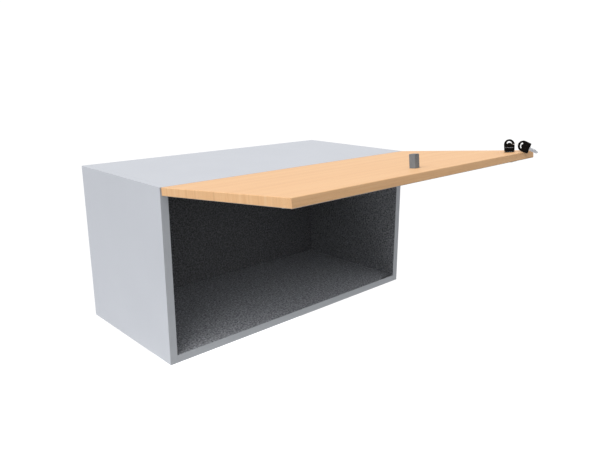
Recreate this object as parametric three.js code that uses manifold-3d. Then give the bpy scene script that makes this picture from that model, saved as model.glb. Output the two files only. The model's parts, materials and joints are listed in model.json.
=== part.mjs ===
// Wall cabinet with a top-hung flap door, a cam lock and its two keys, drawn in millimetres, +Z up.
// The origin is the middle of the cabinet's rear face, where it meets the wall. +X is to the right for
// someone facing the door, and +Y points into the wall. The door stands open, as the cabinet is shown.
import * as THREE from 'three';
import { mergeVertices } from 'three/addons/utils/BufferGeometryUtils.js';
import Module from 'manifold-3d';

// ---------------------------------------------------------------- driving dimensions
// carcass
const cabinetWidth = 800;
const cabinetHeight = 400;
const cabinetDepth = 380;
const board = 18; // thickness of every carcass board
const doorBoard = 18; // thickness of the door
const carcassEdging = 1; // lipping on the front edges of the carcass
const joint = 0.2; // clear line between pieces that touch
const fit = 0.3; // clearance round a piece that sits in a hole

// door
const reveal = 2; // carcass edge left showing round the closed door
const doorGap = 2.2; // from the carcass front to the back of the closed door
const doorEdging = 2; // lipping round the door
const arris = 1.8; // rounding of the door edging
const openAngle = 96; // degrees between the closed door and the door at its stop

// hinges: one pin each, inside a cup let into the door
const hingeFromEdge = 90; // door end to hinge centre
const pinBelowEdge = 7; // door's top edge down to the hinge axis
const pinInFront = 10; // carcass front out to the hinge axis
const pinRadius = 1.1;
const pinLength = 17;
const eyeRadius = 2.3; // end of the arm that wraps the pin
const cupRadius = 17.2;
const cupEdgeDistance = 3; // wood left between the cup bore and the door's top edge
const underEye = 0.9; // clear space between the arm's eye and the cup's floor
const cupFloor = 1.5;
const flangeThickness = 1.3;
const flangeWidth = 62;
const flangeHeight = 18;
const flangeBelowCup = 9.5; // cup centre down to the flange screws
const cupScrewSpacing = 48;
const armWidth = 12;
const armTailWidth = 17;
const armThickness = 4.2;
const armLength = 66; // behind the carcass front
const neckThickness = 3.2;
const plateThickness = 2.8;
const plateWidth = 18;
const wingSpan = 44; // across the two screw wings of the hinge plate
const wingLength = 16;
const wingScrewSpacing = 32;
const plateLength = 50;
const plateFromFront = 20;

// joinery and wall fixing
const dowelRadius = 4;
const dowelLength = 30;
const dowelInSide = 10; // how far a dowel goes into the board it meets face on
const dowelFromFront = 60;
const dowelFromRear = 90;
const wallHoleRadius = 3;
const wallHoleSpacing = 600;
const wallHoleBelowTop = 50;

// handle and bumpers
const handleSide = 15;
const handleReach = 29;
const handleFromEdge = 61; // door's free edge to handle centre
const bumperRadius = 4;
const bumperFromEnd = 9.5; // from the door's end
const bumperFromFree = 30; // from the door's free edge

// lock
const lockFromEnd = 49; // door's right end to lock centre
const lockFromEdge = 36.5; // door's free edge to lock centre
const housingRadius = 9.5;
const lockFlangeRadius = 12;
const lockFlange = 1.2;
const barrelRadius = 7;
const camSetback = 4.45; // from the back of the door in to the cam
const nutRadius = 14;
const nutThickness = 3.5;
const camThickness = 2;
const camBite = 6.5; // how far the shut cam reaches down into the bottom board
const camWidth = 11;
const camBoss = 7; // side of the square that drives the cam
const clipRadius = 5.6; // ring that keeps the cam on its square
const camSeat = 1; // depth of the recess that the ring sits in
const strikeThickness = 1.5;

// keys and ring
const headWidth = 26;
const headHeight = 29.1;
const headThickness = 3.4;
const eyeletRadius = 6.8; // middle line of the curved hole in a key head
const eyeletWidth = 4;
const eyeletSpan = 54; // degrees each way from the middle of the head
const windowWidth = 21;
const windowHeight = 1.4;
const windowAboveBase = 8.6;
const bladeWidth = 8;
const bladeThickness = 2.2;
const bladeLength = 23;
const tangThickness = 1.6;
const wireRadius = 0.4;
const wireFromMiddle = 7.1; // middle of the head's round end to the ring's wire
const wireAngle = 52; // where the ring crosses the eyelet of the key in the lock
const spareTilt = 23; // degrees that the spare key leans in towards the door
const spareInside = 1.2; // middle of the spare key's round end, back from the door's free edge

// ---------------------------------------------------------------- places worked out from those
const radians = THREE.MathUtils.degToRad;
const innerWidth = cabinetWidth - 2 * board;
const innerHeight = cabinetHeight - 2 * board;
const frontY = -cabinetDepth;
const topZ = cabinetHeight / 2;
const doorWidth = cabinetWidth - 2 * reveal;
const doorInnerY = frontY - doorGap;
const doorOuterY = doorInnerY - doorBoard;
const doorTopZ = topZ - reveal;
const doorBottomZ = -doorTopZ;
const pinY = frontY - pinInFront;
const pinZ = doorTopZ - pinBelowEdge;
const hingeX = doorWidth / 2 - hingeFromEdge;
const boreRadius = cupRadius + fit;
const cupDepth = pinInFront - doorGap + eyeRadius + underEye + cupFloor;
const cupZ = doorTopZ - cupEdgeDistance - boreRadius;
const topUnderside = topZ - board;
const plateBottomZ = topUnderside - joint - plateThickness;
const armTopZ = plateBottomZ - joint;
const armBottomZ = armTopZ - armThickness;
const lockX = doorWidth / 2 - lockFromEnd;
const lockZ = doorBottomZ + lockFromEdge;
const keyBase = joint + lockFlange + fit; // key head's foot above the door's face
const barrelLength = lockFlange + doorBoard + camSetback;
const barrelEnd = lockFlange - barrelLength; // shoulder of the barrel, measured from the door's face
const bossDepth = camThickness + fit / 2;
const camTop = barrelEnd - fit / 2;
const camY = doorOuterY - camTop + camThickness / 2; // middle of the cam while the door is shut
const camDrop = lockFromEdge + reveal - board; // lock centre down to the cabinet's floor
const camReach = camDrop + camBite;
const camSweep = Math.hypot(camReach, camWidth / 2);
const headRadius = headWidth / 2;
const headMiddle = headHeight - headRadius; // middle of a key head's round end, above its foot
const [tiltSine, tiltCosine] = [Math.sin(radians(spareTilt)), Math.cos(radians(spareTilt))];
// The straight side of the spare key's head just clears the arris on the door's free edge.
const spareSide = headRadius + arris + (spareInside - arris) * tiltSine;
const spareHeight = spareSide / tiltCosine - arris; // middle of its round end above the door's face

// ---------------------------------------------------------------- finishes
const finish = (color, roughness, metalness) =>
  new THREE.MeshStandardMaterial({ color, roughness, metalness });
const greyBoard = finish(0xc9ccd3, 0.55, 0);
const greyEdging = finish(0x92969c, 0.5, 0);
const darkBoard = finish(0x4a4c50, 0.8, 0);
const woodBoard = finish(0xf2c79b, 0.5, 0);
const woodEdging = finish(0xdcb283, 0.5, 0);
const beech = finish(0xcfa873, 0.8, 0);
const nickel = finish(0xb9babd, 0.35, 1);
const zinc = finish(0xa8aaad, 0.45, 1);
const greyMetal = finish(0x83878d, 0.45, 0.7);
const blackMetal = finish(0x1b1b1d, 0.4, 0.6);
const blackPlastic = finish(0x0d0d0f, 0.35, 0);
const clearRubber = finish(0xd9dadc, 0.3, 0);

// ---------------------------------------------------------------- shape helpers
const wasm = await Module();
wasm.setup();

// One closed skin: equal corners joined and faces without area dropped.
function closed(geometry) {
  const bare = geometry.index ? geometry.toNonIndexed() : geometry.clone();
  for (const name of Object.keys(bare.attributes)) {
    if (name !== 'position') bare.deleteAttribute(name);
  }
  const merged = mergeVertices(bare, 1e-4);
  const corners = merged.index.array;
  const kept = [];
  for (let i = 0; i < corners.length; i += 3) {
    const [a, b, c] = [corners[i], corners[i + 1], corners[i + 2]];
    if (a !== b && b !== c && c !== a) kept.push(a, b, c);
  }
  merged.setIndex(kept);
  return merged;
}

function toSolid(geometry) {
  const skin = closed(geometry);
  return new wasm.Manifold(new wasm.Mesh({
    numProp: 3,
    vertProperties: new Float32Array(skin.attributes.position.array),
    triVerts: new Uint32Array(skin.index.array),
  }));
}

function fromSolid(body) {
  const mesh = body.getMesh();
  const geometry = new THREE.BufferGeometry();
  geometry.setAttribute('position', new THREE.BufferAttribute(new Float32Array(mesh.vertProperties), 3));
  geometry.setIndex(new THREE.BufferAttribute(new Uint32Array(mesh.triVerts), 1));
  return geometry;
}

const cut = (geometry, ...tools) =>
  fromSolid(tools.reduce((body, tool) => body.subtract(toSolid(tool)), toSolid(geometry)));
const joined = (geometry, ...more) =>
  fromSolid(more.reduce((body, extra) => body.add(toSolid(extra)), toSolid(geometry)));
const common = (a, b) => fromSolid(toSolid(a).intersect(toSolid(b)));

// A box given by its lowest and highest corners.
function block(low, high) {
  const size = high.map((value, i) => value - low[i]);
  const geometry = new THREE.BoxGeometry(...size);
  return geometry.translate(...low.map((value, i) => value + size[i] / 2));
}

// A round bar along one axis, given by its middle.
function rod(radius, length, axis, centre, sides = 24) {
  const geometry = new THREE.CylinderGeometry(radius, radius, length, sides);
  if (axis === 'x') geometry.rotateZ(Math.PI / 2);
  if (axis === 'z') geometry.rotateX(Math.PI / 2);
  return geometry.translate(...centre);
}

// A turned piece: profile points are [radius, z], from the lowest to the highest.
function turned(profile, sides = 24) {
  const points = profile.map(([radius, z]) => new THREE.Vector2(radius, z));
  return new THREE.LatheGeometry(points, sides).rotateX(Math.PI / 2);
}

const X = new THREE.Vector3(1, 0, 0);
const Y = new THREE.Vector3(0, 1, 0);
const Z = new THREE.Vector3(0, 0, 1);

// A plate with its outline in the YZ plane, centred on x = 0.
function alongX(outline, thickness, curveSegments = 12) {
  const options = { depth: thickness, bevelEnabled: false, curveSegments };
  const geometry = new THREE.ExtrudeGeometry(outline, options);
  geometry.translate(0, 0, -thickness / 2);
  return geometry.applyMatrix4(new THREE.Matrix4().makeBasis(Y, Z, X));
}

// A plate with its outline in the XZ plane, from y = 0 back to y = -thickness.
function alongY(outline, thickness, curveSegments = 12) {
  const options = { depth: thickness, bevelEnabled: false, curveSegments };
  const geometry = new THREE.ExtrudeGeometry(outline, options);
  return geometry.applyMatrix4(new THREE.Matrix4().makeBasis(X, Z, Y.clone().negate()));
}

// A plate with its outline in the XY plane, from z = 0 up.
function alongZ(outline, thickness, curveSegments = 12) {
  return new THREE.ExtrudeGeometry(outline, { depth: thickness, bevelEnabled: false, curveSegments });
}

// A rectangle with round corners, given by its centre and size.
function roundedRectangle(centreX, centreY, sizeX, sizeY, radius) {
  const [left, right] = [centreX - sizeX / 2, centreX + sizeX / 2];
  const [low, high] = [centreY - sizeY / 2, centreY + sizeY / 2];
  const outline = new THREE.Shape();
  outline.moveTo(left + radius, low);
  outline.lineTo(right - radius, low);
  outline.absarc(right - radius, low + radius, radius, -Math.PI / 2, 0);
  outline.lineTo(right, high - radius);
  outline.absarc(right - radius, high - radius, radius, 0, Math.PI / 2);
  outline.lineTo(left + radius, high);
  outline.absarc(left + radius, high - radius, radius, Math.PI / 2, Math.PI);
  outline.lineTo(left, low + radius);
  outline.absarc(left + radius, low + radius, radius, Math.PI, 1.5 * Math.PI);
  return outline;
}

// Puts a piece into a group: its shape is given in the group's frame, and its own origin is at anchor.
function place(group, name, geometry, material, anchor = [0, 0, 0]) {
  const shape = closed(geometry.translate(...anchor.map((value) => -value)));
  shape.computeVertexNormals();
  const mesh = new THREE.Mesh(shape, material);
  mesh.name = name;
  mesh.position.set(...anchor);
  group.add(mesh);
  return mesh;
}

// A countersunk wood screw: its head's face is at z = 0 looking up, and it goes down from there.
function woodScrew(headRadius, shankRadius, length) {
  const headDepth = headRadius - shankRadius;
  const body = turned([
    [0, -length], [shankRadius, -length + 2 * shankRadius], [shankRadius, -headDepth - 0.3],
    [headRadius, -0.3], [headRadius, 0], [0, 0],
  ], 16);
  const slotDeep = Math.min(1.2, headDepth);
  const slots = [0, Math.PI / 2].map((turn) => {
    const slot = new THREE.BoxGeometry(headRadius * 1.1, 0.8, 2 * slotDeep);
    return slot.rotateZ(turn);
  });
  return cut(body, ...slots);
}

// The hole that such a screw sits in, a clearance bigger all round, open at z = 0 and above.
function screwHole(headRadius, shankRadius, length) {
  const headDepth = headRadius - shankRadius;
  return turned([
    [0, -length - fit], [shankRadius + fit, -length - fit], [shankRadius + fit, -headDepth - 0.3],
    [headRadius + fit, -0.3], [headRadius + fit, 5], [0, 5],
  ], 16);
}

// ---------------------------------------------------------------- carcass
const cabinet = new THREE.Group();
const sides = [['left', -1], ['right', 1]];
const levels = [['bottom', -1], ['top', 1]];
const dowelRows = [['front', frontY + dowelFromFront], ['rear', -dowelFromRear]];
const boardFront = frontY + carcassEdging + joint;
const dowelBody = () => rod(dowelRadius, dowelLength - 2 * fit, 'x', [0, 0, 0], 16);

// Middle of a dowel that joins a side board to a board that ends against it.
const dowelX = (side) => side * (innerWidth / 2 + dowelInSide - dowelLength / 2);
const dowelBore = (side, y, z) => rod(dowelRadius + fit, dowelLength, 'x', [dowelX(side), y, z], 16);
const levelZ = (level) => level * (topZ - board / 2);
const backDowelZ = 0;
const backDowelY = -board / 2;

for (const [sideName, side] of sides) {
  const outer = side * cabinetWidth / 2;
  const inner = side * innerWidth / 2;
  const [low, high] = [Math.min(outer, inner), Math.max(outer, inner)];
  const bores = levels.flatMap(([, level]) => dowelRows.map(([, y]) => dowelBore(side, y, levelZ(level))));
  bores.push(dowelBore(side, backDowelY, backDowelZ));
  const sideBoard = cut(block([low, boardFront, -topZ], [high, 0, topZ]), ...bores);
  place(cabinet, `${sideName}_side`, sideBoard, greyBoard, [(low + high) / 2, -cabinetDepth / 2, 0]);
  const edging = block([low, frontY, -topZ], [high, frontY + carcassEdging, topZ]);
  place(cabinet, `${sideName}_side_edging`, edging, greyEdging, [(low + high) / 2, frontY, 0]);
}

// screws that hold the hinge plates
const plateScrew = { head: 3.6, shank: 1.7, length: 14 };
const plateMiddleY = frontY + plateFromFront + plateLength / 2;
const plateScrewEnds = [['left', -wingScrewSpacing / 2], ['right', wingScrewSpacing / 2]];
const clampY = plateMiddleY + wingLength / 2 + 6;

// pocket that the lock's cam turns into, and the strike plate round it
const boardX = innerWidth / 2 - joint;
const pocketDepth = camSweep - camDrop + 2 * fit;
const pocketLow = [lockX - camWidth / 2 - 1, camY - camThickness / 2 - fit];
const pocketHigh = [lockX + Math.sqrt(camSweep ** 2 - camDrop ** 2) + 1, camY + camThickness / 2 + fit];
const strikeLow = [pocketLow[0] - 8, pocketLow[1] - 1];
const strikeHigh = [Math.min(pocketHigh[0] + 8, boardX - 1), pocketHigh[1] + 8];
const floorZ = -topZ + board;

for (const [levelName, level] of levels) {
  const outer = level * topZ;
  const inner = level * (topZ - board);
  const [low, high] = [Math.min(outer, inner), Math.max(outer, inner)];
  const cuts = sides.flatMap(([, side]) => dowelRows.map(([, y]) => dowelBore(side, y, levelZ(level))));
  if (level > 0) {
    for (const [, side] of sides) {
      for (const [, across] of plateScrewEnds) {
        const mouth = [side * hingeX + across, plateMiddleY, low];
        cuts.push(rod(plateScrew.shank + fit, 2 * (plateScrew.length - plateThickness), 'z', mouth, 16));
      }
    }
  } else {
    const recessLow = strikeLow.map((value) => value - fit);
    const recessHigh = strikeHigh.map((value) => value + fit);
    cuts.push(block([...recessLow, high - strikeThickness - fit], [...recessHigh, high + 5]));
    cuts.push(block([...pocketLow, high - pocketDepth], [...pocketHigh, high + 5]));
  }
  const levelBoard = cut(block([-boardX, boardFront, low], [boardX, 0, high]), ...cuts);
  place(cabinet, `${levelName}_board`, levelBoard, greyBoard, [0, -cabinetDepth / 2, (low + high) / 2]);
  const edging = block([-boardX, frontY, low], [boardX, frontY + carcassEdging, high]);
  place(cabinet, `${levelName}_edging`, edging, greyEdging, [0, frontY, (low + high) / 2]);
}

const backZ = innerHeight / 2 - joint;
const wallHoleZ = topZ - wallHoleBelowTop;
const wallHoles = sides.map(([, side]) =>
  rod(wallHoleRadius, 3 * board, 'y', [side * wallHoleSpacing / 2, -board / 2, wallHoleZ], 20));
const backBores = sides.map(([, side]) => dowelBore(side, backDowelY, backDowelZ));
const backBoard = cut(block([-boardX, -board, -backZ], [boardX, 0, backZ]), ...wallHoles, ...backBores);
place(cabinet, 'back_board', backBoard, darkBoard, [0, -board / 2, 0]);

for (const [sideName, side] of sides) {
  for (const [levelName, level] of levels) {
    for (const [rowName, y] of dowelRows) {
      const dowel = place(cabinet, `dowel_${levelName}_${sideName}_${rowName}`, dowelBody(), beech);
      dowel.position.set(dowelX(side), y, levelZ(level));
    }
  }
  const backDowel = place(cabinet, `dowel_back_${sideName}`, dowelBody(), beech);
  backDowel.position.set(dowelX(side), backDowelY, backDowelZ);
}

// The strike plate lies flush with the floor of the cabinet, round the mouth of the cam's pocket.
const strike = cut(
  block([...strikeLow, floorZ - strikeThickness], [...strikeHigh, floorZ]),
  block([...pocketLow, floorZ - 5], [...pocketHigh, floorZ + 5]),
);
place(cabinet, 'strike_plate', strike, greyMetal, [lockX, camY, floorZ]);

// ---------------------------------------------------------------- hinge halves on the carcass
// The arm runs forward under the top board, past the carcass front, and turns up to the pin. That way it
// stays inside the mouth of the cup at every angle of the door.
function armOutline() {
  const neckBack = pinY + neckThickness - eyeRadius;
  const neckFront = pinY - eyeRadius;
  const corner = 2.5;
  const outline = new THREE.Shape();
  outline.moveTo(neckFront, pinZ);
  outline.lineTo(neckFront, armBottomZ + corner);
  outline.absarc(neckFront + corner, armBottomZ + corner, corner, Math.PI, 1.5 * Math.PI);
  outline.lineTo(frontY + armLength, armBottomZ);
  outline.lineTo(frontY + armLength, armTopZ);
  outline.lineTo(neckBack + 1, armTopZ);
  outline.absarc(neckBack + 1, armTopZ + 1, 1, 1.5 * Math.PI, Math.PI, true);
  outline.lineTo(neckBack, pinZ);
  outline.absarc(pinY, pinZ, eyeRadius, Math.asin(0), Math.PI, false);
  return outline;
}

// Seen from above, the arm widens behind the carcass front to a tail that covers the plate's middle.
function armPlan() {
  const plan = new THREE.Shape();
  const [tip, waist, tail, end] = [pinY - 5, frontY + 6, frontY + 16, frontY + armLength];
  plan.moveTo(-armWidth / 2, tip);
  plan.lineTo(armWidth / 2, tip);
  plan.lineTo(armWidth / 2, waist);
  plan.lineTo(armTailWidth / 2, tail);
  plan.lineTo(armTailWidth / 2, end - 4);
  plan.absarc(armTailWidth / 2 - 4, end - 4, 4, 0, Math.PI / 2);
  plan.lineTo(-armTailWidth / 2 + 4, end);
  plan.absarc(-armTailWidth / 2 + 4, end - 4, 4, Math.PI / 2, Math.PI);
  plan.lineTo(-armTailWidth / 2, tail);
  plan.lineTo(-armWidth / 2, waist);
  return plan;
}

const clampScrew = { head: 3.8, shank: 2, length: armThickness + plateThickness };
const armSpan = pinZ + 10 - armBottomZ;
for (const [sideName, side] of sides) {
  const x = side * hingeX;
  const profile = alongX(armOutline(), armTailWidth + 4);
  const plan = alongZ(armPlan(), armSpan).translate(0, 0, armBottomZ - 2);
  const clampHole = screwHole(clampScrew.head, clampScrew.shank, clampScrew.length + 4)
    .rotateX(Math.PI).translate(0, clampY, armBottomZ);
  const eye = rod(pinRadius + fit / 2, armWidth + 4, 'x', [0, pinY, pinZ], 20);
  const channelHalf = armWidth / 2 - 2;
  const channel = block([-channelHalf, frontY + 22, armTopZ - 1.2],
    [channelHalf, frontY + armLength + 1, armTopZ + 1]);
  const arm = cut(common(profile, plan), eye, clampHole, channel).translate(x, 0, 0);
  place(cabinet, `hinge_arm_${sideName}`, arm, nickel, [x, pinY, pinZ]);

  const base = alongZ(roundedRectangle(0, plateMiddleY, plateWidth, plateLength, 4), plateThickness);
  const wings = alongZ(roundedRectangle(0, plateMiddleY, wingSpan, wingLength, 5), plateThickness);
  const holes = plateScrewEnds.map(([, across]) =>
    screwHole(plateScrew.head, plateScrew.shank, plateScrew.length)
      .rotateX(Math.PI).translate(across, plateMiddleY, 0));
  holes.push(rod(clampScrew.shank + fit, 20, 'z', [0, clampY, 0], 16));
  const plate = cut(joined(base, wings), ...holes);
  place(cabinet, `hinge_plate_${sideName}`, plate, nickel, [0, plateMiddleY, 0])
    .position.set(x, plateMiddleY, plateBottomZ);

  for (const [endName, across] of plateScrewEnds) {
    const screw = place(cabinet, `hinge_plate_screw_${sideName}_${endName}`,
      woodScrew(plateScrew.head, plateScrew.shank, plateScrew.length), zinc);
    screw.rotation.x = Math.PI;
    screw.position.set(x + across, plateMiddleY, plateBottomZ);
  }
  const clamp = place(cabinet, `hinge_clamp_screw_${sideName}`,
    woodScrew(clampScrew.head, clampScrew.shank, clampScrew.length), zinc);
  clamp.rotation.x = Math.PI;
  clamp.position.set(x, clampY, armBottomZ);
}

// ---------------------------------------------------------------- door
// The door is drawn closed, in a group whose origin is the hinge axis, and then swung to its stop.
const door = new THREE.Group();
door.position.set(0, pinY, pinZ);
door.rotation.x = -radians(openAngle);
cabinet.add(door);
const fromPin = ([x, y, z]) => [x, y - pinY, z - pinZ];
const doorBlock = (low, high) => block(fromPin(low), fromPin(high));

const panelX = doorWidth / 2 - doorEdging - joint;
const panelTop = doorTopZ - doorEdging - joint;
const panelBottom = doorBottomZ + doorEdging + joint;
const cupBoreDepth = cupDepth + fit;
const cupScrew = { head: 3.4, shank: 1.7, length: 13 };
const cupScrewZ = cupZ - flangeBelowCup;
const flangeFaceY = doorInnerY + joint + flangeThickness;
const cupScrewHole = () => screwHole(cupScrew.head, cupScrew.shank, cupScrew.length).rotateX(-Math.PI / 2);
const handleZ = doorBottomZ + handleFromEdge;
const handleScrew = { head: 4.2, shank: 2, length: doorBoard + 9 };
const housingBore = housingRadius + fit;

const doorCuts = [
  rod(housingBore, 3 * doorBoard, 'y', fromPin([lockX, doorInnerY, lockZ]), 32),
  rod(handleScrew.shank + fit, 3 * doorBoard, 'y', fromPin([0, doorInnerY, handleZ]), 16),
];
for (const [, side] of sides) {
  doorCuts.push(rod(boreRadius, 2 * cupBoreDepth, 'y', fromPin([side * hingeX, doorInnerY, cupZ]), 48));
  for (const across of [-cupScrewSpacing / 2, cupScrewSpacing / 2]) {
    doorCuts.push(cupScrewHole().translate(...fromPin([side * hingeX + across, flangeFaceY, cupScrewZ])));
  }
}
const doorSlab = doorBlock([-panelX, doorOuterY, panelBottom], [panelX, doorInnerY, panelTop]);
place(door, 'door_panel', cut(doorSlab, ...doorCuts), woodBoard, fromPin([0, doorInnerY, 0]));

// Edging section: flat towards the panel and rounded at its two outer corners. It lies across the board's
// thickness, with the outer face at +first coordinate.
function edgingSection() {
  const section = new THREE.Shape();
  section.moveTo(0, 0);
  section.lineTo(doorEdging - arris, 0);
  section.absarc(doorEdging - arris, arris, arris, -Math.PI / 2, 0);
  section.lineTo(doorEdging, doorBoard - arris);
  section.absarc(doorEdging - arris, doorBoard - arris, arris, 0, Math.PI / 2);
  section.lineTo(0, doorBoard);
  return section;
}

// An edging strip along +Z of its own frame, its outer face at +X and one face of the door at y = 0.
const edgingStrip = (length) => alongZ(edgingSection(), length, 4).translate(0, 0, -length / 2);
for (const [levelName, level] of levels) {
  const strip = place(door, `door_${levelName}_edging`, edgingStrip(doorWidth), woodEdging);
  strip.rotation.set(0, -level * Math.PI / 2, 0);
  strip.position.set(...fromPin([0, doorOuterY, level * (doorTopZ - doorEdging)]));
}
for (const [sideName, side] of sides) {
  const strip = place(door, `door_${sideName}_edging`, edgingStrip(panelTop - panelBottom), woodEdging);
  strip.rotation.z = side > 0 ? 0 : Math.PI;
  const outerY = side > 0 ? doorOuterY : doorInnerY;
  strip.position.set(...fromPin([side * (doorWidth / 2 - doorEdging), outerY, 0]));
}

// hinge cups, each a plug with a pocket that the arm swings in and a flange across the door's back
for (const [sideName, side] of sides) {
  const x = side * hingeX;
  const plug = rod(cupRadius, cupDepth, 'y', [0, doorInnerY - cupDepth / 2, cupZ], 48);
  const flangeOutline = roundedRectangle(0, cupScrewZ, flangeWidth, flangeHeight, 6);
  const flange = alongY(flangeOutline, flangeThickness).translate(0, flangeFaceY, 0);
  const rise = joint + flangeThickness;
  const web = rod(cupRadius - 1, rise, 'y', [0, doorInnerY + rise / 2, cupZ], 48);
  const trim = block([-cupRadius, doorInnerY, cupScrewZ + flangeHeight / 2 - 1],
    [cupRadius, flangeFaceY + 1, cupZ + cupRadius]);
  const pocketHalf = armWidth / 2 + fit;
  const pocket = block([-pocketHalf, doorInnerY - cupDepth + cupFloor, armBottomZ - 3],
    [pocketHalf, doorInnerY + 5, cupZ + cupRadius + 1]);
  const pinHole = rod(pinRadius + fit / 2, 2 * cupRadius, 'x', [0, pinY, pinZ], 20);
  const screwHoles = [-1, 1].map((end) =>
    cupScrewHole().translate(end * cupScrewSpacing / 2, flangeFaceY, cupScrewZ));
  const neck = cut(web, trim);
  const cup = cut(joined(plug, neck, flange), pocket, pinHole, ...screwHoles).translate(x, -pinY, -pinZ);
  place(door, `hinge_cup_${sideName}`, cup, nickel, fromPin([x, doorInnerY, cupZ]));
  place(door, `hinge_pin_${sideName}`, rod(pinRadius, pinLength, 'x', [0, 0, 0], 20), zinc).position.x = x;
  for (const [endName, end] of [['outer', side], ['inner', -side]]) {
    const screw = place(door, `hinge_cup_screw_${sideName}_${endName}`,
      woodScrew(cupScrew.head, cupScrew.shank, cupScrew.length), zinc);
    screw.rotation.x = -Math.PI / 2;
    screw.position.set(...fromPin([x + end * cupScrewSpacing / 2, flangeFaceY, cupScrewZ]));
  }
}

// handle: a square bar standing on the door's face, held by one screw from behind
const handleHoleDepth = handleScrew.length - doorBoard + fit;
const handleHole = rod(handleScrew.shank + fit, 2 * handleHoleDepth, 'z', [0, 0, 0], 16);
const handleBar = alongZ(roundedRectangle(0, 0, handleSide, handleSide, 0.8), handleReach, 3);
const handle = place(door, 'handle', cut(handleBar, handleHole), greyMetal);
handle.rotation.x = Math.PI / 2;
handle.position.set(...fromPin([0, doorOuterY - joint, handleZ]));
const panHead = turned([
  [0, -handleScrew.length], [handleScrew.shank, -handleScrew.length], [handleScrew.shank, joint],
  [handleScrew.head, joint], [handleScrew.head, 1.4], [handleScrew.head * 0.6, 2.4], [0, 2.6],
], 20);
const crossSlots = [0, Math.PI / 2].map((turn) =>
  new THREE.BoxGeometry(handleScrew.head * 1.1, 1, 3).rotateZ(turn).translate(0, 0, 3));
const handleScrewMesh = place(door, 'handle_screw', cut(panHead, ...crossSlots), zinc);
handleScrewMesh.rotation.x = -Math.PI / 2;
handleScrewMesh.position.set(...fromPin([0, doorInnerY, handleZ]));

const bumperThickness = doorGap - 2 * fit;
for (const [sideName, side] of sides) {
  const bumper = turned([
    [0, 0], [bumperRadius, 0], [bumperRadius, bumperThickness * 0.6],
    [bumperRadius * 0.7, bumperThickness], [0, bumperThickness],
  ], 20);
  const mesh = place(door, `bumper_${sideName}`, bumper, clearRubber);
  mesh.rotation.x = -Math.PI / 2;
  const x = side * (doorWidth / 2 - bumperFromEnd);
  mesh.position.set(...fromPin([x, doorInnerY + joint, doorBottomZ + bumperFromFree]));
}

// ---------------------------------------------------------------- lock
// Lock frame: origin on the door's face, +Z square out of it, +Y towards the hinges.
const lock = new THREE.Group();
lock.position.set(...fromPin([lockX, doorOuterY, lockZ]));
lock.rotation.x = Math.PI / 2;
door.add(lock);

const nutTop = -doorBoard - joint;
const housingEnd = nutTop - nutThickness - 0.5;
const housing = turned([
  [barrelRadius + fit, housingEnd], [housingRadius, housingEnd], [housingRadius, joint],
  [lockFlangeRadius, joint], [lockFlangeRadius, joint + lockFlange * 0.5],
  [lockFlangeRadius - 0.8, joint + lockFlange], [barrelRadius + fit, joint + lockFlange],
  [barrelRadius + fit, housingEnd],
], 32);
place(lock, 'lock_housing', housing, blackMetal);
const nutBore = rod(housingRadius + fit, 20, 'z', [0, 0, nutTop], 32);
const nutBody = rod(nutRadius, nutThickness, 'z', [0, 0, nutTop - nutThickness / 2], 6);
place(lock, 'lock_nut', cut(nutBody, nutBore), zinc, [0, 0, nutTop]);

const bossEnd = barrelEnd - bossDepth;
const barrelRound = rod(barrelRadius, barrelLength, 'z', [0, 0, lockFlange - barrelLength / 2], 32);
const boss = block([-camBoss / 2, -camBoss / 2, bossEnd], [camBoss / 2, camBoss / 2, barrelEnd + 1]);
const keyway = block([-bladeThickness / 2 - fit, -bladeWidth / 2 - fit, keyBase - bladeLength - fit],
  [bladeThickness / 2 + fit, bladeWidth / 2 + fit, lockFlange + 1]);
place(lock, 'lock_barrel', cut(joined(barrelRound, boss), keyway), nickel);

// The cam points to the right while the lock is open, and turns down into the bottom board to lock.
function camOutline() {
  const outline = new THREE.Shape();
  const half = camWidth / 2;
  outline.absarc(0, 0, half + 2.5, radians(50), radians(-50), false);
  outline.lineTo(camReach - 2, -half);
  outline.absarc(camReach - 2, -half + 2, 2, -Math.PI / 2, 0, false);
  outline.absarc(camReach - 2, half - 2, 2, 0, Math.PI / 2, false);
  return outline;
}
const camHole = block([-camBoss / 2 - fit / 2, -camBoss / 2 - fit / 2, camTop - 10],
  [camBoss / 2 + fit / 2, camBoss / 2 + fit / 2, camTop + 5]);
const camSeatTool = rod(clipRadius + fit, 2 * camSeat, 'z', [0, 0, camTop - camThickness], 24);
const camBlank = alongZ(camOutline(), camThickness, 16).translate(0, 0, camTop - camThickness);
const cam = cut(camBlank, camHole, camSeatTool);
place(lock, 'lock_cam', cam, zinc, [0, 0, camTop]);
const clipFace = camTop - camThickness;
const clipDisc = rod(clipRadius, camSeat - joint, 'z', [0, 0, clipFace + (camSeat - joint) / 2], 24);
place(lock, 'cam_clip', cut(clipDisc, camHole), zinc, [0, 0, clipFace]);

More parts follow.
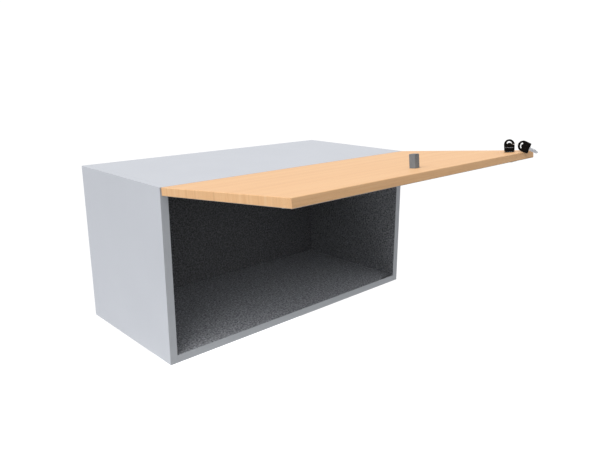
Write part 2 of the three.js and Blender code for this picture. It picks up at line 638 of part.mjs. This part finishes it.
// ---------------------------------------------------------------- keys
// Key frame: origin at the middle of the head's foot, +Z to the round end, the blade down along -Z.
function keyHead() {
  const outline = new THREE.Shape();
  const foot = 1.5;
  outline.moveTo(-headRadius + 0.6 + foot, 0);
  outline.lineTo(headRadius - 0.6 - foot, 0);
  outline.absarc(headRadius - 0.6 - foot, foot, foot, -Math.PI / 2, 0);
  outline.lineTo(headRadius, headMiddle);
  outline.absarc(0, headMiddle, headRadius, 0, Math.PI);
  outline.lineTo(-headRadius + 0.6, foot);
  outline.absarc(-headRadius + 0.6 + foot, foot, foot, Math.PI, 1.5 * Math.PI);
  const eyelet = new THREE.Shape();
  const [inner, outer] = [eyeletRadius - eyeletWidth / 2, eyeletRadius + eyeletWidth / 2];
  const [start, end] = [Math.PI / 2 - radians(eyeletSpan), Math.PI / 2 + radians(eyeletSpan)];
  const onMiddle = (angle) => [eyeletRadius * Math.cos(angle), headMiddle + eyeletRadius * Math.sin(angle)];
  eyelet.absarc(0, headMiddle, outer, start, end);
  eyelet.absarc(...onMiddle(end), eyeletWidth / 2, end, end + Math.PI);
  eyelet.absarc(0, headMiddle, inner, end, start, true);
  eyelet.absarc(...onMiddle(start), eyeletWidth / 2, start + Math.PI, start + 2 * Math.PI);
  const body = alongX(outline, headThickness, 16);
  const eyeletTool = alongX(eyelet, headThickness * 3, 10);
  const half = tangThickness / 2 + fit;
  const neckSlot = block([-half, -bladeWidth / 2 - fit, -1], [half, bladeWidth / 2 + fit, windowAboveBase]);
  const barSlot = block([-half, -windowWidth / 2 - fit, windowAboveBase - fit],
    [half, windowWidth / 2 + fit, windowAboveBase + windowHeight + fit + 1]);
  const window = block([-headThickness, -windowWidth / 2, windowAboveBase],
    [headThickness, windowWidth / 2, windowAboveBase + windowHeight]);
  return cut(body, eyeletTool, neckSlot, barSlot, window);
}

// The blade widens inside the head to a bar that shows through the window.
function keyBlade() {
  const tangHalf = tangThickness / 2;
  const tang = block([-tangHalf, -bladeWidth / 2, -1], [tangHalf, bladeWidth / 2, windowAboveBase + 1]);
  const bar = block([-tangHalf, -windowWidth / 2, windowAboveBase + 0.1],
    [tangHalf, windowWidth / 2, windowAboveBase + windowHeight + 0.6]);
  const outline = new THREE.Shape();
  const half = bladeWidth / 2;
  const cuts = [2.2, 1.2, 2.8, 1.6, 2.4]; // depths of the cuts from the blade's foot to its tip
  const pitch = 3.4;
  outline.moveTo(half, -fit);
  outline.lineTo(-half, -fit);
  cuts.forEach((deep, i) => {
    const z = -3.6 - i * pitch;
    outline.lineTo(-half, z + pitch * 0.5);
    outline.lineTo(-half + deep, z + pitch * 0.15);
    outline.lineTo(-half + deep, z - pitch * 0.15);
  });
  outline.lineTo(-half + 2.6, -bladeLength + 2.4);
  outline.lineTo(0, -bladeLength);
  outline.lineTo(half, -bladeLength + 3);
  const blade = alongX(outline, bladeThickness);
  const groove = block([bladeThickness / 2 - 0.5, 0.6, -bladeLength - 1], [bladeThickness, 1.8, -fit - 2]);
  return joined(cut(blade, groove), tang, bar);
}

const key = new THREE.Group();
key.position.z = keyBase;
lock.add(key);
place(key, 'key_head', keyHead(), blackPlastic);
place(key, 'key_blade', keyBlade(), nickel);

// The ring runs through the eyelets of both keys, and the spare key hangs from it past the door's edge.
const spareMiddle = new THREE.Vector3(0, spareInside - lockFromEdge, spareHeight);
const spareDirection = new THREE.Vector3(0, -tiltCosine, -tiltSine);
const ringAtKey = new THREE.Vector3(
  0, -wireFromMiddle * Math.sin(radians(wireAngle)),
  keyBase + headMiddle + wireFromMiddle * Math.cos(radians(wireAngle)),
);
const ringAtSpare = spareMiddle.clone().addScaledVector(spareDirection, -wireFromMiddle);
const ringSpan = ringAtSpare.clone().sub(ringAtKey);
const ring = new THREE.TorusGeometry(ringSpan.length() / 2, wireRadius, 8, 48);
const ringMesh = place(lock, 'key_ring', ring, nickel);
ringMesh.position.copy(ringAtKey).addScaledVector(ringSpan, 0.5);
ringMesh.rotation.x = Math.atan2(-ringSpan.z, -ringSpan.y);

const spare = new THREE.Group();
spare.position.copy(spareMiddle).addScaledVector(spareDirection, headMiddle);
spare.rotation.x = -radians(90 - spareTilt);
lock.add(spare);
place(spare, 'spare_key_head', keyHead(), blackPlastic);
place(spare, 'spare_key_blade', keyBlade(), nickel);

export default cabinet;
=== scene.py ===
# %% [markdown]
# # A wall cabinet with a flap door, from its boards to its keys
# This notebook dresses a finished cabinet: five boards, a flap door on two cup hinges, a square handle, a cam
# lock and two keys on a ring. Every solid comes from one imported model, already in its place and in metres, so
# nothing has to be fitted. The work here is finish: soft arrises, laminate, wood decor, metal and light.

# %% Load the cabinet
import json
import math

import bpy
from mathutils import Matrix, Vector


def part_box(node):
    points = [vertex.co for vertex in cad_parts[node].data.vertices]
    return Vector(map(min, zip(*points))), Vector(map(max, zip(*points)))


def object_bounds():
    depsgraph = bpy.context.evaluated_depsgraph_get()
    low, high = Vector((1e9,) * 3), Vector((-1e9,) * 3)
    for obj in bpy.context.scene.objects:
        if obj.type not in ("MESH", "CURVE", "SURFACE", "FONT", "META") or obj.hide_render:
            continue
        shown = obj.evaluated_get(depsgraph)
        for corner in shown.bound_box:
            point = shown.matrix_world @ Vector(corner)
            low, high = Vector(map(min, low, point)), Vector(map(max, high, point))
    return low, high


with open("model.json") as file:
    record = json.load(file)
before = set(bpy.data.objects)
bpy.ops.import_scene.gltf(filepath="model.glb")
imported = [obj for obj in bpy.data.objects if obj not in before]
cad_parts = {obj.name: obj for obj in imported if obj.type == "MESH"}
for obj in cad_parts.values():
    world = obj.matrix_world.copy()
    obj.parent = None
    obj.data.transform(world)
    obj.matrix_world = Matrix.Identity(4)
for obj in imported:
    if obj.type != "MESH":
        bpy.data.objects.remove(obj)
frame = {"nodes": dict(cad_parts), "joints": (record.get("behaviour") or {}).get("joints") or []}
solid_box = [list(map(float, corner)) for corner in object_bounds()]
nodes = frame["nodes"]

# %% [markdown]
# The door is hinged on one line under the cabinet's top. It helps to have the door's own directions: across
# is along the cabinet, down runs from the hinge line to the free edge, and out is square off the decor face.
# A hinge record gives the line and the angle, so the directions are worked out rather than typed in.

# %% Find the door's own directions
joints = {joint["name"]: joint for joint in frame["joints"]}
hinge_line = Vector(joints["door_swing"]["pos_m"])
open_angle = math.radians(joints["door_swing"]["range_deg"][1])
swing = Matrix.Rotation(-open_angle, 3, "X")
door_across = Vector((1, 0, 0))
door_down = swing @ Vector((0, 0, -1))
door_out = swing @ Vector((0, -1, 0))
face_looks = tuple(round(v, 3) for v in door_out)
print("door opens", round(math.degrees(open_angle)), "degrees; its face looks along", face_looks)

# %% [markdown]
# Shader nodes are easier to read as sums. A Signal is one output socket, and adding, multiplying or comparing
# signals adds the Math nodes behind it. A Finish is one material: its node method makes any other node, with
# the settings first and the sockets after, and returns the output as a Signal again.

# %% Write shader maths as sums
class Signal:
    """One output of a shader node."""

    def __init__(self, finish, socket):
        self.finish = finish
        self.socket = socket

    def math(self, operation, *values):
        return self.finish.node("ShaderNodeMath", {"operation": operation}, dict(enumerate(values)))

    def __add__(self, other):
        return self.math("ADD", self, other)

    def __radd__(self, other):
        return self.math("ADD", other, self)

    def __sub__(self, other):
        return self.math("SUBTRACT", self, other)

    def __rsub__(self, other):
        return self.math("SUBTRACT", other, self)

    def __mul__(self, other):
        return self.math("MULTIPLY", self, other)

    def __rmul__(self, other):
        return self.math("MULTIPLY", other, self)

    def __lt__(self, other):
        return self.math("LESS_THAN", self, other)

    def __gt__(self, other):
        return self.math("GREATER_THAN", self, other)

    def __abs__(self):
        return self.math("ABSOLUTE", self)


class Finish:
    """One material, built from nodes."""

    def __init__(self, name):
        self.material = bpy.data.materials.new(name)
        self.material.use_nodes = True
        self.tree = self.material.node_tree
        self.tree.nodes.clear()
        self.place = self.node("ShaderNodeTexCoord", {}, {}, "Object")

    def node(self, kind, settings, sockets, output=0):
        made = self.tree.nodes.new(kind)
        stops = settings.pop("stops", None)
        for name, value in settings.items():
            setattr(made, name, value)
        if stops:
            ramp = made.color_ramp.elements
            while len(ramp) < len(stops):
                ramp.new(0.5)
            for element, (position, colour) in zip(ramp, stops):
                element.position = position
                element.color = (*colour, 1)
        for name, value in sockets.items():
            if isinstance(value, Signal):
                self.tree.links.new(value.socket, made.inputs[name])
            elif hasattr(value, "__len__") and made.inputs[name].type == "RGBA":
                made.inputs[name].default_value = (*value, 1)
            else:
                made.inputs[name].default_value = value
        return Signal(self, made.outputs[output])

    def axes(self):
        split = self.node("ShaderNodeSeparateXYZ", {}, {0: self.place})
        outputs = split.socket.node.outputs
        return [Signal(self, outputs[i]) for i in range(3)]

    def along(self, direction, origin=(0, 0, 0)):
        """Distance along a direction, in metres, measured from an origin."""
        dot = self.node("ShaderNodeVectorMath", {"operation": "DOT_PRODUCT"},
                        {0: self.place, 1: tuple(direction)}, "Value")
        return dot - Vector(origin).dot(Vector(direction))

    def stretched(self, scales, directions=((1, 0, 0), (0, 1, 0), (0, 0, 1))):
        """A place whose three directions are scaled one by one, for grain that runs one way."""
        parts = [self.along(direction) * scale for direction, scale in zip(directions, scales)]
        return self.node("ShaderNodeCombineXYZ", {}, dict(enumerate(parts)))

    def noise(self, scale, detail=2.0, rough=0.5, place=None):
        return self.node("ShaderNodeTexNoise", {}, {
            "Vector": place or self.place, "Scale": scale, "Detail": detail, "Roughness": rough}, "Fac")

    def cells(self, scale, place=None):
        return self.node("ShaderNodeTexVoronoi", {}, {
            "Vector": place or self.place, "Scale": scale}, "Distance")

    def mix(self, factor, first, second):
        return self.node("ShaderNodeMix", {"data_type": "RGBA"}, {0: factor, 6: first, 7: second}, 2)

    def ramp(self, factor, *stops):
        return self.node("ShaderNodeValToRGB", {"stops": stops}, {0: factor}, "Color")

    def step(self, value, low, high):
        """0 below low, 1 above high and even between them."""
        return self.node("ShaderNodeMapRange", {"clamp": True}, {
            "Value": value, "From Min": low, "From Max": high})

    def bump(self, height, distance, strength=1.0):
        return self.node("ShaderNodeBump", {}, {"Height": height, "Distance": distance, "Strength": strength})

    def surface(self, **values):
        """The finished material. A socket's name is written small, with low lines for its spaces."""
        named = {}
        for name, value in values.items():
            named[name.replace("_", " ").title().replace("Ior", "IOR")] = value
        shader = self.node("ShaderNodeBsdfPrincipled", {}, named)
        self.node_output(shader)
        return self.material

    def node_output(self, shader):
        output = self.tree.nodes.new("ShaderNodeOutputMaterial")
        self.tree.links.new(shader.socket, output.inputs[0])


print("shader maths ready")

# %% [markdown]
# Melamine board is a printed paper pressed onto chipboard. Outside it is a pale, slightly blue grey. Inside
# it is charcoal with a fine salt and pepper fleck. Both faces belong to one board, so one finish covers it
# and tells inside from outside by where a point lies. That keeps the change exactly on the board's corner.
# Light and shade in the hollow are painted into the charcoal: painted light makes it palest on the floor of
# the hollow, and painted shade makes it darkest on the back. The back is bored for screws.

# %% Melamine for the carcass
INSIDE = Vector((0.3822, -0.0178, 0.1822))  # half width, front of the back board, half height of the hollow
FLOOR_SKIN = 0.0015  # how far above that height's lower end a point still counts as the floor
# Painted light and shade: the walls and floor of the hollow get lighter copies of the charcoal, the back a
# darker one.
SIDE_PAINTED_LIGHT_TONE, FLOOR_PAINTED_LIGHT_TONE, BACK_PAINTED_SHADE_TONE = 1.65, 2.6, 0.88
HOLE_ACROSS, HOLE_HEIGHT, HOLE_RADIUS = 0.3, 0.15, 0.004  # where the two wall screws go, from the middle
HOLE_FRONT, HOLE_REAR = -0.0176, -0.0006
REAR_SKIN = 0.0005


def pale_melamine(f):
    cloud = f.noise(9, 3) * 0.5 + f.noise(420, 2) * 0.5
    return f.ramp(cloud, (0.3, (0.59, 0.612, 0.662)), (0.7, (0.622, 0.645, 0.695)))


def charcoal_fleck(f, tone):
    grain = f.noise(215, 2, 0.6) * 0.6 + f.noise(700, 2, 0.7) * 0.4
    stops = [(0.36, (0.035, 0.037, 0.04)), (0.5, (0.118, 0.121, 0.129)), (0.64, (0.255, 0.26, 0.275))]
    base = f.ramp(grain, *[(at, tuple(v * tone for v in colour)) for at, colour in stops])
    light = f.step(f.cells(900), 0.16, 0.08)
    dark = f.step(f.cells(700), 0.14, 0.06)
    pale_fleck = tuple(v * tone for v in (0.3, 0.31, 0.32))
    return f.mix(dark * 0.75, f.mix(light * 0.55, base, pale_fleck), (0.015, 0.015, 0.017))


def carcass_melamine():
    f = Finish("carcass_board")
    x, y, z = f.axes()
    inside = (abs(x) < INSIDE.x) * (abs(z) < INSIDE.z) * (y < INSIDE.y)
    # Painted light: the floor of the hollow takes the lightest copy of the charcoal.
    painted_light_floor = z < FLOOR_SKIN - INSIDE.z
    charcoal = f.mix(painted_light_floor, charcoal_fleck(f, SIDE_PAINTED_LIGHT_TONE), charcoal_fleck(f, FLOOR_PAINTED_LIGHT_TONE))
    colour = f.mix(inside, pale_melamine(f), charcoal)
    pearl = f.noise(1500, 2)
    rough = 0.42 + pearl * 0.1 + inside * 0.2
    return f.surface(base_color=colour, roughness=rough, normal=f.bump(pearl, 0.00003, 0.6))


def back_melamine():
    f = Finish("back_board")
    x, y, z = f.axes()
    rear = y > -REAR_SKIN
    fibres = f.noise(300, 4, 0.7)
    raw = f.ramp(fibres, (0.3, (0.42, 0.33, 0.24)), (0.7, (0.58, 0.47, 0.35)))
    # Painted shade: the inside face of the back takes the darkest copy of the charcoal.
    colour = f.mix(rear, charcoal_fleck(f, BACK_PAINTED_SHADE_TONE), pale_melamine(f))
    beside = (abs(x) > HOLE_ACROSS - HOLE_RADIUS) * (abs(x) < HOLE_ACROSS + HOLE_RADIUS)
    hole = beside * (abs(z - HOLE_HEIGHT) < HOLE_RADIUS) * (y < HOLE_REAR) * (y > HOLE_FRONT)
    return f.surface(base_color=f.mix(hole, colour, raw), roughness=0.5 + fibres * 0.15,
                     normal=f.bump(f.noise(1500, 2), 0.00003, 0.6))


carcass_board = carcass_melamine()
back_board = back_melamine()
print("melamine:", carcass_board.name, back_board.name)

# %% [markdown]
# A thin plastic lipping hides the chipboard on the carcass's front edges. It is extruded, so it carries very
# fine lines along its length, and it is a touch more satin than the board. The lines follow each strip: they
# stand upright on the two sides and lie flat on the top and bottom.

# %% Lipping for the carcass
def carcass_lipping(name, upright):
    f = Finish(name)
    scales = (900, 900, 6) if upright else (6, 900, 900)
    lines = f.noise(1, 3, 0.6, f.stretched(scales))
    cloud = f.noise(25, 2)
    # Painted shade: this grey is darker than the board's face, for front edges that take less of the lamp's
    # light.
    colour = f.ramp(lines * 0.6 + cloud * 0.4, (0.3, (0.485, 0.505, 0.535)), (0.7, (0.54, 0.56, 0.59)))
    return f.surface(base_color=colour, roughness=0.38 + lines * 0.12, normal=f.bump(lines, 0.00004, 0.5))


upright_lipping = carcass_lipping("carcass_edging_upright", True)
level_lipping = carcass_lipping("carcass_edging_level", False)
print("lippings:", upright_lipping.name, level_lipping.name)

# %% [markdown]
# The door's decor is pale beech. Beech has an even, warm ground, long soft bands, and short darker dashes
# where its rays are cut. The bands are noise stretched far along the grain. The dashes are cells stretched
# less, kept only where a second noise allows, so they come in drifts. The back of the door is plain grey, and
# each lipping ends in a thin grey line there. The short lippings show more streaks than the long ones.

# %% Beech decor for the door
BACK_FACE = -0.0073  # out from the hinge line to the grey back of the door
BACK_LINE = -0.007


def beech(f, grain, across, out, tone=1.0):
    """Beech colour and height, with the grain along one direction."""
    axes = (grain, across, out)
    bands = f.noise(1, 4, 0.6, f.stretched((1.6, 38, 38), axes))
    fine = f.noise(1, 3, 0.65, f.stretched((14, 620, 620), axes))
    drift = f.noise(1, 2, 0.5, f.stretched((6, 30, 30), axes))
    dashes = f.step(f.cells(1, f.stretched((210, 1100, 1100), axes)), 0.3, 0.12) * f.step(drift, 0.42, 0.62)
    ground = f.ramp(bands * 0.62 + fine * 0.38,
                    (0.3, tuple(v * tone for v in (0.87, 0.5, 0.244))),
                    (0.5, tuple(v * tone for v in (0.94, 0.567, 0.29))),
                    (0.7, tuple(v * tone for v in (0.98, 0.622, 0.337))))
    colour = f.mix(dashes * 0.5, ground, tuple(v * tone for v in (0.55, 0.3, 0.15)))
    return colour, fine * 0.6 + dashes * -0.4 + bands * 0.2


def door_decor():
    f = Finish("door_board")
    colour, height = beech(f, door_across, door_down, door_out)
    back = f.along(door_out, hinge_line) < BACK_FACE
    grey = f.ramp(f.noise(420, 2), (0.3, (0.5, 0.515, 0.55)), (0.7, (0.56, 0.575, 0.61)))
    rough = 0.4 + height * 0.12
    return f.surface(base_color=f.mix(back, colour, grey), roughness=rough,
                     normal=f.bump(height, 0.00005, 0.5))


def door_lipping(name, grain, across, tone, streaks):
    f = Finish(name)
    third = door_across if grain is door_out else door_out
    colour, height = beech(f, grain, across, third, tone)
    lines = f.noise(1, 3, 0.75, f.stretched((9, 260, 260), (grain, across, third)))
    colour = f.mix(f.step(lines, 0.5, 0.72) * streaks, colour, tuple(v * tone for v in (0.62, 0.36, 0.19)))
    colour = f.mix(f.step(lines, 0.48, 0.3) * streaks, colour, tuple(v * tone for v in (1.0, 0.74, 0.48)))
    back_line = f.along(door_out, hinge_line) < BACK_LINE
    colour = f.mix(back_line, colour, (0.34, 0.335, 0.335))
    return f.surface(base_color=colour, roughness=0.38 + height * 0.12, normal=f.bump(height, 0.00005, 0.6))


door_board = door_decor()
# Painted shade: tones below 1 darken the lippings against the face, for edges that take less light.
long_lipping = door_lipping("door_edging_long", door_across, door_down, 0.965, 0.22)
end_lipping = door_lipping("door_edging_end", door_out, door_down, 0.92, 0.36)
print("beech:", door_board.name, long_lipping.name, end_lipping.name)

# %% [markdown]
# The metal parts want three finishes. Plated steel is bright with faint clouds and rubbed spots. The handle
# is satin aluminium, brushed along its length. A key's blade is plain steel with a bar that runs up into the
# moulded head, and where the bar sits in the head it is painted shade: dull blue on the first key, nearly
# black on the spare.

# %% Metals
# These lengths mark the painted shade where each blade's bar sits inside its moulded head.
BAR_SHADE_LENGTH = 0.0045  # the bar at the upper end of the first key's blade
SPARE_BAR_SHADE_LENGTH = 0.0079  # and at the end of the spare's, which lies nearly flat


def plated(name, colour, rough):
    f = Finish(name)
    cloud = f.noise(160, 3, 0.6)
    scuff = f.noise(1, 3, 0.7, f.stretched((900, 120, 900)))
    tone = f.ramp(cloud, (0.35, tuple(v * 0.86 for v in colour)), (0.65, colour))
    return f.surface(base_color=tone, metallic=1.0, roughness=rough + scuff * 0.16 - 0.08,
                     normal=f.bump(scuff, 0.00002, 0.5))


def brushed_handle():
    f = Finish("handle_metal")
    lines = f.noise(1, 4, 0.7, f.stretched((1500, 1500, 30), (door_across, door_down, door_out)))
    cloud = f.noise(120, 2)
    colour = f.ramp(lines * 0.7 + cloud * 0.3, (0.3, (0.175, 0.205, 0.24)), (0.7, (0.22, 0.252, 0.288)))
    return f.surface(base_color=colour, metallic=0.3, roughness=0.5 + lines * 0.15, specular_ior_level=0.3,
                     normal=f.bump(lines, 0.00003, 0.6))


def key_blade_finish(name, axis, shade_start, shade_colour):
    """Steel, with painted shade where the place along one axis, 0 to 2, is past the start of the bar."""
    f = Finish(name)
    cloud = f.noise(160, 3, 0.6)
    scuff = f.noise(1, 3, 0.7, f.stretched((900, 120, 900)))
    bar_in_shade = f.axes()[axis] > shade_start
    bright = f.ramp(cloud, (0.35, (0.42, 0.445, 0.49)), (0.65, (0.5, 0.53, 0.58)))
    return f.surface(base_color=f.mix(bar_in_shade, bright, shade_colour), metallic=0.3, roughness=0.36 + scuff * 0.16,
                     specular_ior_level=0.3, normal=f.bump(scuff, 0.00002, 0.5))


hinge_nickel = plated("hinge_nickel", (0.62, 0.61, 0.6), 0.3)
screw_zinc = plated("zinc", (0.56, 0.57, 0.6), 0.38)
strike_steel = plated("strike_steel", (0.42, 0.42, 0.43), 0.42)
key_nickel = plated("key_nickel", (0.66, 0.66, 0.66), 0.28)
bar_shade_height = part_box("key_blade")[1][2] - BAR_SHADE_LENGTH
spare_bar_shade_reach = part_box("spare_key_blade")[1][1] - SPARE_BAR_SHADE_LENGTH
# Painted shade on the bars inside the heads: dull blue on the first key, nearly black on the spare.
key_steel = key_blade_finish("key_steel", 2, bar_shade_height, (0.34, 0.4, 0.5))
spare_steel = key_blade_finish("spare_key_steel", 1, spare_bar_shade_reach, (0.012, 0.012, 0.013))
handle_metal = brushed_handle()
print("metals:", hinge_nickel.name, screw_zinc.name, strike_steel.name, key_nickel.name, handle_metal.name)

# %% [markdown]
# The last finishes are small. Black paint and black plastic differ in the size of their grain: paint has a
# fine orange peel, moulded plastic a coarser one, and both shine little. The door's bumpers are pale soft
# rubber, and the dowels are a darker beech than the door.

# %% Black metal, plastic, rubber and dowel wood
def black(name, colour, rough, grain, depth):
    f = Finish(name)
    peel = f.noise(grain, 2, 0.6)
    worn = f.noise(90, 3)
    tone = f.ramp(worn, (0.4, colour), (0.75, tuple(v * 1.9 for v in colour)))
    return f.surface(base_color=tone, roughness=rough + peel * 0.14, specular_ior_level=0.08,
                     normal=f.bump(peel, depth, 0.7))


def soft_dot():
    f = Finish("bumper_rubber")
    haze = f.noise(900, 2)
    tone = f.ramp(haze, (0.3, (0.5, 0.51, 0.53)), (0.7, (0.62, 0.63, 0.65)))
    return f.surface(base_color=tone, roughness=0.3 + haze * 0.2, normal=f.bump(haze, 0.00002, 0.5))


def dowel_wood():
    f = Finish("dowel_wood")
    colour, height = beech(f, door_across, Vector((0, 1, 0)), Vector((0, 0, 1)), 0.8)
    return f.surface(base_color=colour, roughness=0.75, normal=f.bump(height, 0.0001, 0.8))


lock_black = black("lock_black", (0.012, 0.012, 0.013), 0.32, 1400, 0.00002)
key_plastic = black("key_plastic", (0.0014, 0.0014, 0.0017), 0.45, 1000, 0.00004)
bumper_rubber = soft_dot()
dowel_beech = dowel_wood()
print("small finishes:", lock_black.name, key_plastic.name, bumper_rubber.name, dowel_beech.name)

# %% [markdown]
# Real edges are never knife sharp: a board's arris is broken by a file and a pressed sheet rolls over a
# little. A Bevel modifier does this without touching the solid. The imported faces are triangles, so they are
# welded and joined into flat faces first. A small group of geometry nodes then shades curved faces smoothly.

# %% Soft edges without changing a solid
def smooth_group(limit):
    group = bpy.data.node_groups.new("smooth_curves", "GeometryNodeTree")
    group.interface.new_socket("Geometry", in_out="INPUT", socket_type="NodeSocketGeometry")
    group.interface.new_socket("Geometry", in_out="OUTPUT", socket_type="NodeSocketGeometry")
    start = group.nodes.new("NodeGroupInput")
    angle = group.nodes.new("GeometryNodeInputMeshEdgeAngle")
    below = group.nodes.new("FunctionNodeCompare")
    below.operation = "LESS_THAN"
    below.inputs[1].default_value = limit
    faces = group.nodes.new("GeometryNodeSetShadeSmooth")
    edges = group.nodes.new("GeometryNodeSetShadeSmooth")
    edges.domain = "EDGE"
    end = group.nodes.new("NodeGroupOutput")
    group.links.new(angle.outputs[0], below.inputs[0])
    group.links.new(start.outputs[0], faces.inputs[0])
    group.links.new(faces.outputs[0], edges.inputs[0])
    group.links.new(below.outputs[0], edges.inputs["Shade Smooth"])
    group.links.new(edges.outputs[0], end.inputs[0])
    return group


smooth_curves = smooth_group(math.radians(38))


def soften(piece, width, segments=2):
    weld = piece.modifiers.new("weld", "WELD")
    weld.merge_threshold = 0.000002
    flat = piece.modifiers.new("flat_faces", "DECIMATE")
    flat.decimate_type = "DISSOLVE"
    flat.angle_limit = math.radians(0.5)
    if width:
        bevel = piece.modifiers.new("soft_edge", "BEVEL")
        bevel.width = width
        bevel.segments = segments
        bevel.limit_method = "ANGLE"
        bevel.angle_limit = math.radians(40)
    smooth = piece.modifiers.new("smooth_curves", "NODES")
    smooth.node_group = smooth_curves
    weighted = piece.modifiers.new("even_faces", "WEIGHTED_NORMAL")
    weighted.keep_sharp = True


print("soft edges ready")

# %% [markdown]
# Now each carried-over solid gets its finish and its own edge. Boards have an arris of a third of a
# millimetre, moulded key heads half of one, and screws almost none. The table below is the whole dressing of
# the cabinet: a beginning of a name, the finish, and the width of the soft edge.

# %% Dress the solids
dressing = [
    ("back_board", back_board, 0.0003),
    ("left_side_edging", upright_lipping, 0.0003),
    ("right_side_edging", upright_lipping, 0.0003),
    ("top_edging", level_lipping, 0.0003),
    ("bottom_edging", level_lipping, 0.0003),
    ("left_side", carcass_board, 0.0003),
    ("right_side", carcass_board, 0.0003),
    ("top_board", carcass_board, 0.0003),
    ("bottom_board", carcass_board, 0.0003),
    ("door_top_edging", long_lipping, 0),
    ("door_bottom_edging", long_lipping, 0),
    ("door_left_edging", end_lipping, 0),
    ("door_right_edging", end_lipping, 0),
    ("door_panel", door_board, 0.0002),
    ("dowel_", dowel_beech, 0.0006),
    ("hinge_plate_screw", screw_zinc, 0.0001),
    ("hinge_clamp_screw", screw_zinc, 0.0001),
    ("hinge_cup_screw", screw_zinc, 0.0001),
    ("hinge_pin", screw_zinc, 0.0002),
    ("hinge_", hinge_nickel, 0.0004),
    ("handle_screw", screw_zinc, 0.0002),
    ("handle", handle_metal, 0.0003),
    ("bumper_", bumper_rubber, 0.0002),
    ("lock_housing", lock_black, 0.0002),
    ("lock_barrel", key_nickel, 0.0002),
    ("lock_", screw_zinc, 0.0003),
    ("cam_clip", screw_zinc, 0.0001),
    ("strike_plate", strike_steel, 0.0003),
    ("key_head", key_plastic, 0.0005),
    ("spare_key_head", key_plastic, 0.0005),
    ("key_blade", key_steel, 0.0002),
    ("spare_key_blade", spare_steel, 0.0002),
    ("key_ring", key_nickel, 0),
]
for name, piece in nodes.items():
    finish, width = next((f, w) for start, f, w in dressing if name.startswith(start))
    piece.data.materials.clear()
    piece.data.materials.append(finish)
    soften(piece, width)
print(len(nodes), "solids dressed")

# %% [markdown]
# A wall cabinet hangs well above the ground, so the floor is over a metre below it and gets no hard shadow.
# It is a plain pale sheet that glows a little, as a studio floor lit from all round does. The walls of the
# studio are the world's own light: dim low down, brighter above, and white where the camera sees them.

# %% Floor and studio
FLOOR_DROP = 1.3
FLOOR_REACH = 2.0


def floor_finish():
    f = Finish("studio_floor")
    return f.surface(base_color=(0.86, 0.87, 0.88), roughness=0.9,
                     emission_color=(1, 1, 1), emission_strength=0.35)


mesh = bpy.data.meshes.new("studio_floor")
corners = [(x * FLOOR_REACH, y * FLOOR_REACH, 0) for x, y in ((-1, -1), (1, -1), (1, 1), (-1, 1))]
mesh.from_pydata(corners, [], [(0, 1, 2, 3)])
floor = bpy.data.objects.new("studio_floor", mesh)
bpy.context.scene.collection.objects.link(floor)
floor.location.z = solid_box[0][2] - FLOOR_DROP
floor.data.materials.append(floor_finish())

world = bpy.data.worlds.new("studio")
world.use_nodes = True
bpy.context.scene.world = world
sky = world.node_tree
sky.nodes.clear()
seen = sky.nodes.new("ShaderNodeLightPath")
background = sky.nodes.new("ShaderNodeBackground")
toward = sky.nodes.new("ShaderNodeTexCoord")
height = sky.nodes.new("ShaderNodeSeparateXYZ")
dome = sky.nodes.new("ShaderNodeMapRange")
for name, value in (("From Min", -0.1), ("From Max", 0.1), ("To Min", 0.12), ("To Max", 0.58)):
    dome.inputs[name].default_value = value
strength = sky.nodes.new("ShaderNodeMapRange")
strength.inputs["To Max"].default_value = 1.05
background.inputs["Color"].default_value = (1, 1, 1, 1)
sky.links.new(toward.outputs["Generated"], height.inputs[0])
sky.links.new(height.outputs["Z"], dome.inputs["Value"])
sky.links.new(dome.outputs[0], strength.inputs["To Min"])
sky.links.new(seen.outputs["Is Camera Ray"], strength.inputs["Value"])
sky.links.new(strength.outputs[0], background.inputs["Strength"])
sky.links.new(background.outputs[0], sky.nodes.new("ShaderNodeOutputWorld").inputs[0])
print("floor at", round(floor.location.z, 3), "m")

# %% [markdown]
# One broad lamp high on the left does most of the work. It stands almost square to the cabinet's left side,
# so the top is brightest, the left side is close behind, and the front edges take less than half as much. A
# wide angle keeps every shadow soft.

# %% The main lamp
lamp_data = bpy.data.lights.new("broad_lamp", "SUN")
lamp_data.energy = 2.3
lamp_data.angle = math.radians(60)
lamp = bpy.data.objects.new("broad_lamp", lamp_data)
bpy.context.scene.collection.objects.link(lamp)
lamp_from = Vector((-0.66, -0.05, 0.78))
lamp.rotation_euler = lamp_from.to_track_quat("Z", "Y").to_euler()
print("lamp from", tuple(lamp_from))

# %% [markdown]
# The camera stands front left of the cabinet, a little above the door, under a metre from its corner.
# With a 35 mm lens that close, the far end of the door shrinks clearly. Its sideways axis stays level.

# %% Camera
camera_data = bpy.data.cameras.new("camera")
camera_data.lens = 35
camera_data.sensor_width = 36
camera = bpy.data.objects.new("camera", camera_data)
bpy.context.scene.collection.objects.link(camera)
camera.location = (-0.986, -1.4257, 0.4334)
looking = Vector((0.65903, 0.70616, -0.25888))
camera.rotation_euler = looking.to_track_quat("-Z", "Y").to_euler()
bpy.context.scene.camera = camera
bpy.context.scene.view_settings.view_transform = "Standard"
print("camera", tuple(round(v, 3) for v in camera.location))

# %% [markdown]
# The last cell brings the scene up to date. A finish and a soft edge add nothing to the cabinet's size.

# %% Finish
bpy.context.view_layer.update()
